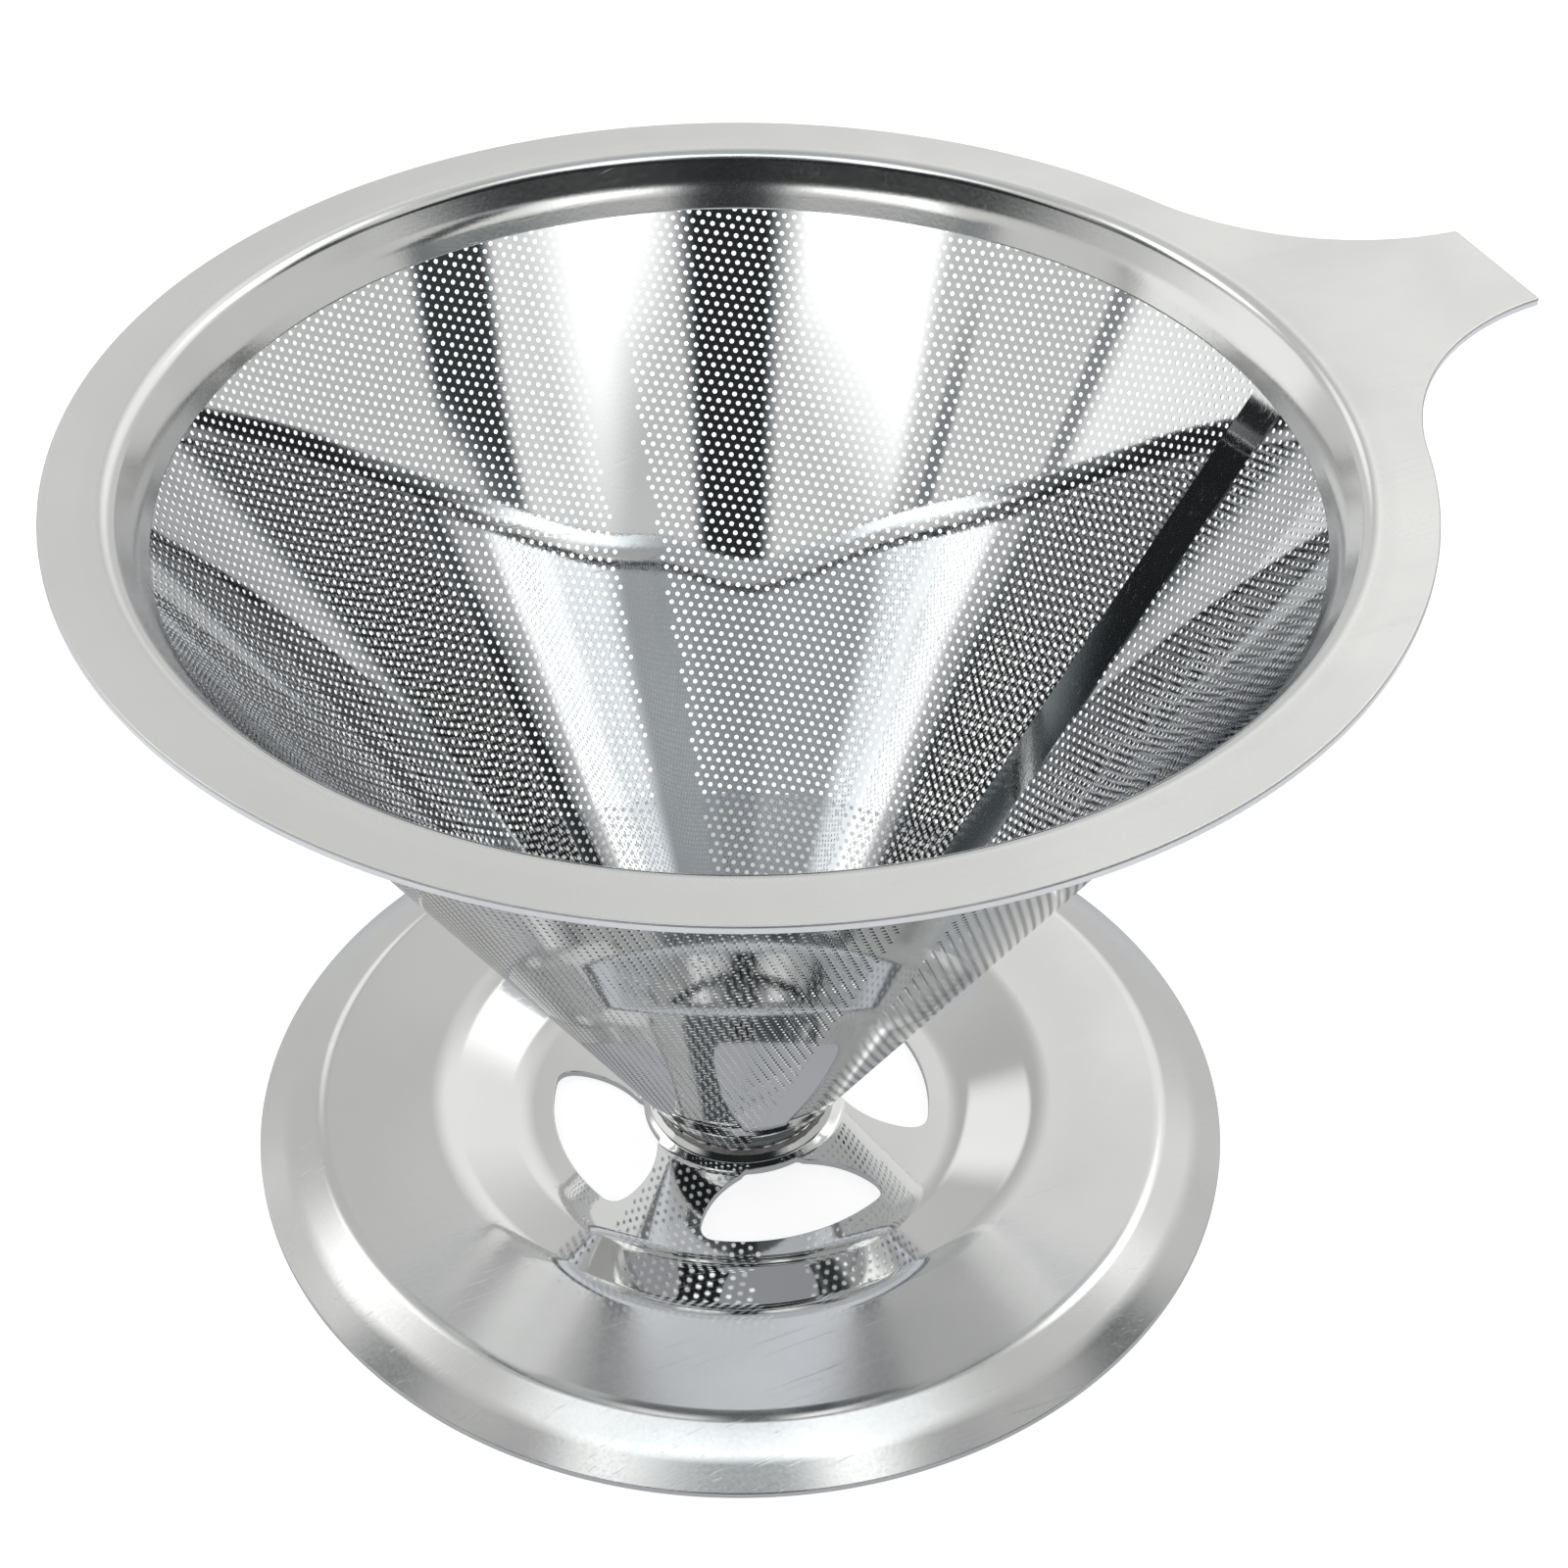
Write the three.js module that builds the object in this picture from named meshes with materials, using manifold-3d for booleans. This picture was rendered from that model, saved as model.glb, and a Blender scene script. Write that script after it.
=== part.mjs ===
// Pour over coffee dripper: a perforated steel cone hung from a flat rim with a pull tab,
// welded at its tip into a dished stand that sits on a mug.
// Millimetres, +Z up. The origin is on the cone's axis, in the plane the dripper rests on.
// The pull tab points along +X.

import * as THREE from 'three';
import { mergeVertices } from 'three/addons/utils/BufferGeometryUtils.js';
import Module from 'manifold-3d';

const wasm = await Module();
wasm.setup();

// ---- driving dimensions -----------------------------------------------------------------------

const SEGMENTS = 72;

const overallHeight = 84.6;
const sheet = 0.8;
const filterSheet = 0.3;

const rim = {
  outerRadius: 62.5,
  throatRadius: 53.2,
  throatHeight: 79.3,
  wallAngle: THREE.MathUtils.degToRad(28),
  bendRadius: 1.8,
};

const tab = {
  reach: 82.2,
  halfWidth: 7.1,
  neckRadius: 29,
  cornerRadius: 0.5,
};

const cone = {
  lapHeight: 82.3,
  lowerEnd: 0.6,
  upper: { height: 79.3, radius: 54.75 },
  lower: { height: 1.0, radius: 8.1 },
};

const cap = {
  thickness: 0.5,
  clearance: 0.2,
  skirtHeight: 3.6,
};

const stand = {
  footRadius: 51.5,
  plateHeight: 4.0,
  plateOuterRadius: 45,
  plateInnerRadius: 32.1,
  floorHeight: 1.1,
  floorOuterRadius: 23.3,
  hubRadius: 10.9,
  lipHeight: 2.3,
  hubGap: 0.3,
};

// The stand and the filter were welded up a few degrees out of line with the pull tab.
const clocking = THREE.MathUtils.degToRad(-6);

const windows = {
  count: 4,
  outerRadius: 20.2,
  innerRadius: 10.5,
  outerHalfAngle: THREE.MathUtils.degToRad(26),
  cornerHalfAngle: THREE.MathUtils.degToRad(31.5),
  cornerRadius: 17.6,
  waistRadius: 13.8,
  innerHalfAngle: THREE.MathUtils.degToRad(18),
};

const collarWeld = { low: 79.9, high: 81.4, gap: 0.04 };
const hubWeld = { height: 0.6, width: 0.55 };

// ---- materials --------------------------------------------------------------------------------

const satinSteel = new THREE.MeshStandardMaterial({ color: 0xc9cac8, roughness: 0.38, metalness: 1 });
const polishedSteel = new THREE.MeshStandardMaterial({ color: 0xc4c7c9, roughness: 0.1, metalness: 1 });
const brushedSteel = new THREE.MeshStandardMaterial({ color: 0xbfc2c1, roughness: 0.25, metalness: 1 });
const weldSteel = new THREE.MeshStandardMaterial({ color: 0xa8a9a8, roughness: 0.45, metalness: 1 });

// ---- helpers ----------------------------------------------------------------------------------

function toSolid(geometry) {
  const bare = geometry.clone();
  bare.deleteAttribute('normal');
  bare.deleteAttribute('uv');
  const merged = mergeVertices(bare, 1e-4);
  return new wasm.Manifold(new wasm.Mesh({
    numProp: 3,
    vertProperties: merged.attributes.position.array,
    triVerts: new Uint32Array(merged.index.array),
  }));
}

function toGeometry(solid) {
  const { vertProperties, triVerts } = solid.getMesh();
  const geometry = new THREE.BufferGeometry();
  geometry.setAttribute('position', new THREE.BufferAttribute(vertProperties, 3));
  geometry.setIndex(new THREE.BufferAttribute(triVerts, 1));
  geometry.computeVertexNormals();
  return geometry;
}

function namedMesh(name, geometry, material) {
  const mesh = new THREE.Mesh(geometry, material);
  mesh.name = name;
  return mesh;
}

// A closed outline of [radius, height] points, counter-clockwise, turned about the Z axis.
function turned(outline) {
  const points = outline.map(([radius, height]) => new THREE.Vector2(radius, height));
  const touchesAxis = outline[0][0] === 0;
  if (!touchesAxis) points.push(points[0].clone());
  const geometry = new THREE.LatheGeometry(points, SEGMENTS);
  geometry.rotateX(Math.PI / 2);
  return geometry;
}

// Points on an arc in the [radius, height] plane, both ends included.
function arcPoints(centre, radius, startAngle, endAngle, steps) {
  return Array.from({ length: steps + 1 }, (_, i) => {
    const angle = startAngle + ((endAngle - startAngle) * i) / steps;
    return [centre[0] + radius * Math.cos(angle), centre[1] + radius * Math.sin(angle)];
  });
}

// Both faces of a bent sheet: the top face as given, the lower face `thickness` under it,
// measured square to the sheet. Top points run from the axis outwards.
function sheetOutline(top, thickness) {
  const under = top.map(([radius, height], i) => {
    const before = top[Math.max(i - 1, 0)];
    const after = top[Math.min(i + 1, top.length - 1)];
    const run = new THREE.Vector2(after[0] - before[0], after[1] - before[1]).normalize();
    return [radius + run.y * thickness, height - run.x * thickness];
  });
  return [...under, ...top.reverse()];
}

const coneSlope = (cone.upper.radius - cone.lower.radius) / (cone.upper.height - cone.lower.height);
const coneWall = filterSheet * Math.hypot(1, coneSlope);
const coneOuter = (height) => cone.lower.radius + coneSlope * (height - cone.lower.height);
const coneInner = (height) => coneOuter(height) - coneWall;

// Radius of the collar's back face, which the filter laps round.
function collarBack(height) {
  const square = sheet / Math.cos(rim.wallAngle);
  return rim.throatRadius + square + Math.tan(rim.wallAngle) * (height - rim.throatHeight);
}

// ---- rim: flat ring, pull tab and the collar that runs down into the filter ---------------------

// Top face of the collar and its bend into the flat ring.
function collarTop(flatEnd) {
  const slope = Math.tan(rim.wallAngle);
  const centreHeight = overallHeight - rim.bendRadius;
  const wallRadius = rim.throatRadius + slope * (centreHeight - rim.throatHeight);
  const centre = [wallRadius + rim.bendRadius / Math.cos(rim.wallAngle), centreHeight];
  const bend = arcPoints(centre, rim.bendRadius, Math.PI - rim.wallAngle, Math.PI / 2, 6);
  return [[rim.throatRadius, rim.throatHeight], ...bend, [flatEnd, overallHeight]];
}

// Outline of the flat ring with its tab: each neck is an arc that leaves the ring at a tangent.
function rimShape() {
  const neckAway = tab.halfWidth + tab.neckRadius;
  const neckAlong = Math.sqrt((rim.outerRadius + tab.neckRadius) ** 2 - neckAway ** 2);
  const leaveAngle = Math.atan2(neckAway, neckAlong);
  const endAngle = Math.acos((tab.reach - tab.cornerRadius - neckAlong) / tab.neckRadius);
  const neckEnd = neckAway - tab.neckRadius * Math.sin(endAngle);
  const shape = new THREE.Shape();
  shape.absarc(0, 0, rim.outerRadius, leaveAngle, 2 * Math.PI - leaveAngle, false);
  shape.absarc(neckAlong, -neckAway, tab.neckRadius, Math.PI - leaveAngle, endAngle, true);
  shape.quadraticCurveTo(tab.reach, -neckEnd, tab.reach, -neckEnd + tab.cornerRadius);
  shape.lineTo(tab.reach, neckEnd - tab.cornerRadius);
  shape.quadraticCurveTo(tab.reach, neckEnd, tab.reach - tab.cornerRadius, neckEnd);
  shape.absarc(neckAlong, neckAway, tab.neckRadius, 2 * Math.PI - endAngle, Math.PI + leaveAngle, true);
  return shape;
}

function rimGeometry() {
  const flatStart = rim.throatRadius + 4.4;
  const shape = rimShape();
  const hole = new THREE.Path();
  hole.absarc(0, 0, flatStart, 0, 2 * Math.PI, true);
  shape.holes.push(hole);
  const plate = new THREE.ExtrudeGeometry(shape, { depth: sheet, bevelEnabled: false, curveSegments: 32 });
  plate.translate(0, 0, overallHeight - sheet);
  const collar = turned(sheetOutline(collarTop(flatStart + 1), sheet));
  return toGeometry(toSolid(plate).add(toSolid(collar)));
}

// ---- filter: one etched sheet rolled into a cone, lapped round the collar ------------------------

function filterGeometry() {
  return turned([
    [coneInner(cone.lowerEnd), cone.lowerEnd],
    [coneOuter(cone.lowerEnd), cone.lowerEnd],
    [coneOuter(cone.lapHeight), cone.lapHeight],
    [coneInner(cone.lapHeight), cone.lapHeight],
  ]);
}

// Resistance weld ring inside the lap, between the back of the collar and the filter.
function collarWeldGeometry() {
  const inner = (height) => collarBack(height) + collarWeld.gap;
  const outer = (height) => coneInner(height) - collarWeld.gap;
  return turned([
    [inner(collarWeld.low), collarWeld.low],
    [outer(collarWeld.low), collarWeld.low],
    [outer(collarWeld.high), collarWeld.high],
    [inner(collarWeld.high), collarWeld.high],
  ]);
}

// ---- tip cap: closes the bottom of the cone ------------------------------------------------------

function capGeometry() {
  const outer = (height) => coneInner(height) - cap.clearance;
  const skirt = cap.thickness * Math.hypot(1, coneSlope);
  return turned([
    [0, 0],
    [outer(0), 0],
    [outer(cap.skirtHeight), cap.skirtHeight],
    [outer(cap.skirtHeight) - skirt, cap.skirtHeight],
    [outer(cap.thickness) - skirt, cap.thickness],
    [0, cap.thickness],
  ]);
}

// ---- stand: dished plate with four windows round the tip -------------------------------------------

function standTop() {
  const hub = coneOuter(stand.lipHeight) + stand.hubGap;
  return [
    [hub, stand.lipHeight],
    [hub + 0.5, stand.lipHeight - 0.5],
    [stand.hubRadius - 0.6, stand.floorHeight + 0.25],
    [stand.hubRadius + 0.4, stand.floorHeight],
    [stand.floorOuterRadius - 1.2, stand.floorHeight],
    [stand.floorOuterRadius + 1.0, stand.floorHeight + 0.25],
    [stand.plateInnerRadius - 1.0, stand.plateHeight - 0.25],
    [stand.plateInnerRadius + 1.2, stand.plateHeight],
    [stand.plateOuterRadius - 0.9, stand.plateHeight],
    [stand.plateOuterRadius + 0.5, stand.plateHeight - 0.35],
    [stand.footRadius - 0.55, sheet + 0.1],
    [stand.footRadius, sheet * 0.55],
  ];
}

// The lower face follows the top face, then the lip ends on a flat foot ring.
function standOutline() {
  const outline = sheetOutline(standTop(), sheet);
  const topCount = outline.length / 2;
  const under = outline.slice(0, topCount - 2);
  const top = outline.slice(topCount);
  const foot = [[stand.footRadius - 1.9, 0], [stand.footRadius, 0]];
  return [...under, ...foot, ...top];
}

// One window: outer arc, bowed sides that leave narrow legs, and an inner arc round the hub.
function windowShape() {
  const polar = (radius, angle) => [radius * Math.cos(angle), radius * Math.sin(angle)];
  const shape = new THREE.Shape();
  shape.absarc(0, 0, windows.outerRadius, -windows.outerHalfAngle, windows.outerHalfAngle, false);
  shape.quadraticCurveTo(
    ...polar(windows.outerRadius, windows.cornerHalfAngle),
    ...polar(windows.cornerRadius, windows.cornerHalfAngle),
  );
  shape.quadraticCurveTo(
    ...polar(windows.waistRadius, windows.cornerHalfAngle),
    ...polar(windows.innerRadius + 0.5, windows.innerHalfAngle),
  );
  shape.absarc(0, 0, windows.innerRadius, windows.innerHalfAngle - 0.05, 0.05 - windows.innerHalfAngle, true);
  shape.lineTo(...polar(windows.innerRadius + 0.5, -windows.innerHalfAngle));
  shape.quadraticCurveTo(
    ...polar(windows.waistRadius, -windows.cornerHalfAngle),
    ...polar(windows.cornerRadius, -windows.cornerHalfAngle),
  );
  shape.quadraticCurveTo(
    ...polar(windows.outerRadius, -windows.cornerHalfAngle),
    ...polar(windows.outerRadius, -windows.outerHalfAngle),
  );
  return shape;
}

function standGeometry() {
  const extrusion = { depth: 12, bevelEnabled: false, curveSegments: 7 };
  const cutter = new THREE.ExtrudeGeometry(windowShape(), extrusion);
  cutter.translate(0, 0, -4);
  cutter.rotateZ(clocking);
  let solid = toSolid(turned(standOutline()));
  for (let i = 0; i < windows.count; i += 1) {
    solid = solid.subtract(toSolid(cutter));
    cutter.rotateZ((2 * Math.PI) / windows.count);
  }
  return toGeometry(solid);
}

// Bead between the stand's hub lip and the outside of the cone.
function hubWeldGeometry() {
  const foot = stand.lipHeight + 0.05;
  const inner = (height) => coneOuter(height) + 0.05;
  return turned([
    [inner(foot), foot],
    [inner(foot) + hubWeld.width, foot],
    [inner(foot + hubWeld.height), foot + hubWeld.height],
  ]);
}

// ---- assembly ---------------------------------------------------------------------------------

const dripper = new THREE.Group();
dripper.add(
  namedMesh('rim', rimGeometry(), satinSteel),
  namedMesh('filter_cone', filterGeometry(), polishedSteel),
  namedMesh('collar_weld', collarWeldGeometry(), weldSteel),
  namedMesh('tip_cap', capGeometry(), polishedSteel),
  namedMesh('stand', standGeometry(), brushedSteel),
  namedMesh('hub_weld', hubWeldGeometry(), weldSteel),
);

export default dripper;
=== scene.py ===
"""Looks of the pour over dripper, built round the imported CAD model.

Every piece is made here in millimetres, in the row frame, and scaled to metres as its mesh is written.
Angles are degrees about +Z, from the pull tab (+X), unless a name says otherwise.
"""

import math

import bpy
import numpy as np
from mathutils import Matrix, Vector
from mathutils.geometry import delaunay_2d_cdt


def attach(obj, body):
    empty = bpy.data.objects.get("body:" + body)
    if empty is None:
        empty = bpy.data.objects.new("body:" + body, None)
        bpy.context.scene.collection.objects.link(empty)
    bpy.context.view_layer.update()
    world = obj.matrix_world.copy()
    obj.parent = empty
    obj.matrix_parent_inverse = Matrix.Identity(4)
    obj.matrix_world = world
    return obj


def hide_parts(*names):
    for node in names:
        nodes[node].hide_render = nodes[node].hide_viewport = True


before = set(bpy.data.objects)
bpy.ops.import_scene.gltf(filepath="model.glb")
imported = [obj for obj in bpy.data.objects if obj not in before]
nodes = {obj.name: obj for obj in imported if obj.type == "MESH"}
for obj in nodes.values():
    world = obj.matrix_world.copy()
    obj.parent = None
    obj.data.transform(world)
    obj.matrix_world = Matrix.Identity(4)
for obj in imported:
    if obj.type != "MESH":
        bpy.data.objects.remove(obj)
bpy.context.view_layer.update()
MM = 0.001
SCENE = bpy.context.scene

# ---- dimensions, as the CAD source has them -----------------------------------------------------

TOP = 84.6
SHEET = 0.8
OUTER = 62.5
THROAT, THROAT_Z = 53.2, 79.3
COLLAR_SLOPE = math.tan(math.radians(28))
SLOPE = (54.75 - 8.1) / (79.3 - 1.0)
WALL = 0.3 * math.hypot(1, SLOPE)
HALF = math.atan(SLOPE)
SIN, COS = math.sin(HALF), math.cos(HALF)
APEX = 1.0 - (8.1 - WALL) / SLOPE
CLOCKING = -6.0
VIEW_TURN = 24.1


def cone_outer(z):
    return 8.1 + SLOPE * (z - 1.0)


def cone_inner(z):
    return cone_outer(z) - WALL


# ---- meshes -------------------------------------------------------------------------------------


def write_mesh(name, verts, faces, normals, material):
    """verts in millimetres, faces as lists of indices, normals one row for each face corner."""
    verts = np.asarray(verts, float)
    _, first, where = np.unique(np.round(verts, 4), axis=0, return_index=True, return_inverse=True)
    where = where.ravel()
    kept, rows, at = [], [], 0
    for face in faces:
        merged = where[list(face)]
        corners = [k for k in range(len(face)) if merged[k] != merged[k - 1]]
        if len(corners) > 2:
            kept.append([int(merged[k]) for k in corners])
            rows.extend(at + k for k in corners)
        at += len(face)
    mesh = bpy.data.meshes.new(name)
    mesh.from_pydata((verts[first] * MM).tolist(), [], kept)
    return finish_mesh(name, mesh, np.asarray(normals, float)[rows], material)


def write_triangles(name, verts, triangles, quads, normals, material):
    """The same for a large mesh: index arrays of triangles, then of quads."""
    mesh = bpy.data.meshes.new(name)
    corners = np.concatenate([triangles.ravel(), quads.ravel()])
    sizes = np.concatenate([np.full(len(triangles), 3), np.full(len(quads), 4)])
    mesh.vertices.add(len(verts))
    mesh.vertices.foreach_set("co", (verts * MM).astype(np.float32).ravel())
    mesh.loops.add(len(corners))
    mesh.loops.foreach_set("vertex_index", corners.astype(np.int32))
    mesh.polygons.add(len(sizes))
    mesh.polygons.foreach_set("loop_start", np.concatenate([[0], np.cumsum(sizes)[:-1]]).astype(np.int32))
    mesh.update(calc_edges=True)
    return finish_mesh(name, mesh, normals, material)


def finish_mesh(name, mesh, normals, material):
    mesh.polygons.foreach_set("use_smooth", np.ones(len(mesh.polygons), bool))
    lengths = np.linalg.norm(normals, axis=1, keepdims=True)
    mesh.normals_split_custom_set((normals / np.maximum(lengths, 1e-9)).tolist())
    mesh.materials.append(material)
    piece = bpy.data.objects.new(name, mesh)
    SCENE.collection.objects.link(piece)
    return piece


def rounded(corners, closed=True, steps=6):
    """Corners (radius, height, rounding) with the material on the left become rows of point and normal."""
    rows = []
    count = len(corners)
    for i, (r, z, rounding) in enumerate(corners):
        point = np.array((r, z), float)
        if not closed and i in (0, count - 1):
            other = np.array(corners[1 if i == 0 else -2][:2], float)
            run = (other - point) if i == 0 else (point - other)
            run /= np.linalg.norm(run)
            rows.append((r, z, run[1], -run[0]))
            continue
        before = np.array(corners[i - 1][:2], float)
        after = np.array(corners[(i + 1) % count][:2], float)
        into, out = point - before, after - point
        room = 0.48 * min(np.linalg.norm(into), np.linalg.norm(out))
        into, out = into / np.linalg.norm(into), out / np.linalg.norm(out)
        turn = math.atan2(into[0] * out[1] - into[1] * out[0], into @ out)
        reach = min(rounding * math.tan(abs(turn) / 2), room)
        radius = reach / math.tan(abs(turn) / 2)
        side = 1 if turn > 0 else -1
        square = np.array((into[1], -into[0]))
        centre = point - into * reach - side * radius * square
        for k in range(steps + 1):
            a = turn * k / steps
            n = np.array((square[0] * math.cos(a) - square[1] * math.sin(a),
                          square[0] * math.sin(a) + square[1] * math.cos(a)))
            p = centre + side * radius * n
            rows.append((p[0], p[1], n[0], n[1]))
    return np.array(rows)


def offset_corners(corners, thickness):
    """The other face of a bent sheet: corners moved square to the right of the run."""
    points = np.array([c[:2] for c in corners], float)
    runs = np.diff(points, axis=0)
    runs /= np.linalg.norm(runs, axis=1, keepdims=True)
    square = np.stack([runs[:, 1], -runs[:, 0]], 1)
    moved = []
    for i, corner in enumerate(corners):
        if i in (0, len(corners) - 1):
            moved.append((*(points[i] + square[min(i, len(runs) - 1)] * thickness), corner[2]))
            continue
        bisector = square[i - 1] + square[i]
        bisector *= thickness / (bisector @ square[i])
        turn = runs[i - 1][0] * runs[i][1] - runs[i - 1][1] * runs[i][0]
        rounding = corner[2] + (thickness if turn > 0 else -thickness)
        moved.append((*(points[i] + bisector), max(rounding, 0.15)))
    return moved


def lathe(profile, around=288, closed=True, bump=None):
    """Grid of vertices, quads and corner normals of a profile turned about +Z."""
    angles = np.arange(around) * 2 * math.pi / around
    c, s = np.cos(angles)[:, None], np.sin(angles)[:, None]
    r, z, nr, nz = profile.T
    if bump is not None:
        r = r[None] + bump(angles)[:, None] * nr[None]
        z = z[None] + bump(angles)[:, None] * nz[None]
    else:
        r, z = r[None] + 0 * c, z[None] + 0 * c
    verts = np.stack([r * c, r * s, z], -1)
    norms = np.stack([nr * c, nr * s, nz + 0 * c], -1)
    return grid(verts, norms, closed)


def grid(verts, norms, closed=True):
    a, m = verts.shape[:2]
    faces, corner_normals = [], []
    flat_n = norms.reshape(-1, 3)
    for i in range(a):
        for j in range(m if closed else m - 1):
            i2, j2 = (i + 1) % a, (j + 1) % m
            face = [i * m + j, i2 * m + j, i2 * m + j2, i * m + j2]
            faces.append(face)
            corner_normals.append(flat_n[face])
    return verts.reshape(-1, 3), faces, np.concatenate(corner_normals)


def join(*parts):
    verts, faces, normals, base = [], [], [], 0
    for v, f, n in parts:
        verts.append(v)
        faces.extend([[k + base for k in face] for face in f])
        normals.append(n)
        base += len(v)
    return np.concatenate(verts), faces, np.concatenate(normals)


# ---- materials ----------------------------------------------------------------------------------


class Nodes:
    """Short forms for a material's or the world's node tree."""

    def __init__(self, tree):
        self.tree = tree
        tree.nodes.clear()

    def add(self, kind, **values):
        node = self.tree.nodes.new(kind)
        for key, value in values.items():
            setattr(node, key, value)
        return node

    def link(self, a, b):
        self.tree.links.new(a, b)

    def put(self, socket, value):
        if isinstance(value, bpy.types.NodeSocket):
            self.link(value, socket)
        else:
            socket.default_value = value

    def math(self, operation, a, b=0.0, clamp=False):
        node = self.add("ShaderNodeMath", operation=operation, use_clamp=clamp)
        self.put(node.inputs[0], a)
        self.put(node.inputs[1], b)
        return node.outputs[0]

    def ramp(self, value, low, high, out_low=0.0, out_high=1.0):
        node = self.add("ShaderNodeMapRange", interpolation_type="SMOOTHSTEP")
        for socket, v in zip(node.inputs, (value, low, high, out_low, out_high)):
            self.put(socket, v)
        return node.outputs[0]

    def mix(self, factor, a, b):
        node = self.add("ShaderNodeMix", data_type="RGBA")
        self.put(node.inputs[0], factor)
        self.put(node.inputs[6], a)
        self.put(node.inputs[7], b)
        return node.outputs[2]

    def noise(self, vector, scale, detail=2.0, rough=0.5):
        node = self.add("ShaderNodeTexNoise")
        self.link(vector, node.inputs["Vector"])
        node.inputs["Scale"].default_value = scale
        node.inputs["Detail"].default_value = detail
        node.inputs["Roughness"].default_value = rough
        return node.outputs["Fac"]


def steel(name, base, dark, rough, rough_spread, grain, fine, scratch, extra=None):
    """Stainless steel: tone drift, patchy roughness, fine grain, and hairline scratches three ways."""
    material = bpy.data.materials.new(name)
    material.use_nodes = True
    n = Nodes(material.node_tree)
    out = n.add("ShaderNodeOutputMaterial")
    shader = n.add("ShaderNodeBsdfPrincipled")
    n.link(shader.outputs[0], out.inputs[0])
    place = n.add("ShaderNodeTexCoord").outputs["Object"]
    cloud = n.noise(place, 45.0, 3.0)
    speck = n.noise(place, 2600.0, 2.0)
    lines = []
    for angle, stretch in ((0.35, 60.0), (1.15, 45.0), (-0.7, 80.0)):
        mapping = n.add("ShaderNodeMapping")
        n.link(place, mapping.inputs["Vector"])
        mapping.inputs["Rotation"].default_value = (0.2, 0.1, angle)
        mapping.inputs["Scale"].default_value = (40.0, 40.0 * stretch, 900.0)
        hair = n.noise(mapping.outputs[0], 1.0, 4.0, 0.65)
        lines.append(n.ramp(hair, 0.63, 0.72))
    hairs = n.math("MAXIMUM", n.math("MAXIMUM", lines[0], lines[1]), lines[2])
    tone = n.mix(n.ramp(cloud, 0.3, 0.7), base, dark)
    n.put(shader.inputs["Base Color"], tone)
    shader.inputs["Metallic"].default_value = 1.0
    rough_out = n.math("ADD", n.ramp(cloud, 0.3, 0.75, rough - rough_spread, rough + rough_spread),
                       n.math("MULTIPLY", n.ramp(speck, 0.3, 0.7, -1.0, 1.0), rough_spread * 0.5))
    rough_out = n.math("ADD", rough_out, n.math("MULTIPLY", hairs, scratch * 0.2))
    height = n.math("ADD", n.math("MULTIPLY", speck, grain), n.math("MULTIPLY", hairs, -scratch))
    if extra:
        rough_out, height = extra(n, place, rough_out, height)
    n.put(shader.inputs["Roughness"], rough_out)
    bump = n.add("ShaderNodeBump")
    bump.inputs["Strength"].default_value = 1.0
    bump.inputs["Distance"].default_value = fine
    n.link(height, bump.inputs["Height"])
    n.link(bump.outputs[0], shader.inputs["Normal"])
    return material


def rim_zones(n, place, rough, height):
    """The collar is polished; the flat ring and tab are satin."""
    parts = n.add("ShaderNodeSeparateXYZ")
    n.link(place, parts.inputs[0])
    x, y = parts.outputs[0], parts.outputs[1]
    radius = n.math("SQRT", n.math("ADD", n.math("MULTIPLY", x, x), n.math("MULTIPLY", y, y)))
    satin = n.ramp(radius, 0.0566, 0.0578)
    polished = n.math("MULTIPLY", rough, 0.45)
    mixed = n.add("ShaderNodeMix", data_type="FLOAT")
    n.link(satin, mixed.inputs[0])
    n.link(polished, mixed.inputs[2])
    n.link(rough, mixed.inputs[3])
    return mixed.outputs[0], n.math("MULTIPLY", height, n.ramp(radius, 0.0566, 0.0578, 0.25, 1.0))


def dish_zones(n, place, rough, height):
    """The plate's outer lip is brushed; the moat and the floor round the windows are nearly mirrors."""
    parts = n.add("ShaderNodeSeparateXYZ")
    n.link(place, parts.inputs[0])
    x, y = parts.outputs[0], parts.outputs[1]
    radius = n.math("SQRT", n.math("ADD", n.math("MULTIPLY", x, x), n.math("MULTIPLY", y, y)))
    outer = n.ramp(radius, 0.0445, 0.0460, 0.0, 0.06)
    centre = n.ramp(radius, 0.0310, 0.0370, 0.30, 1.0)
    return n.math("ADD", n.math("MULTIPLY", rough, centre), outer), n.math("MULTIPLY", height, centre)


SATIN = steel("satin_steel", (0.88, 0.88, 0.865, 1), (0.83, 0.83, 0.82, 1), 0.34, 0.05, 0.5, 0.00002, 0.25,
              rim_zones)
MIRROR = steel("mirror_steel", (0.82, 0.83, 0.835, 1), (0.76, 0.77, 0.78, 1), 0.035, 0.012, 0.15, 0.000004,
               0.10)
DISH = steel("dish_steel", (0.80, 0.80, 0.79, 1), (0.74, 0.745, 0.735, 1), 0.15, 0.03, 0.3, 0.000006, 0.30,
             dish_zones)
# The weld's dark grey base is painted shade: it makes the bead where the cone meets the plate read dark, as
# that junction does in its shade.
WELD = steel("weld_steel", (0.44, 0.435, 0.42, 1), (0.34, 0.33, 0.31, 1), 0.34, 0.08, 1.0, 0.00008, 0.20)

# ---- rim: collar, flat ring and pull tab ----------------------------------------------------------


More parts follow.
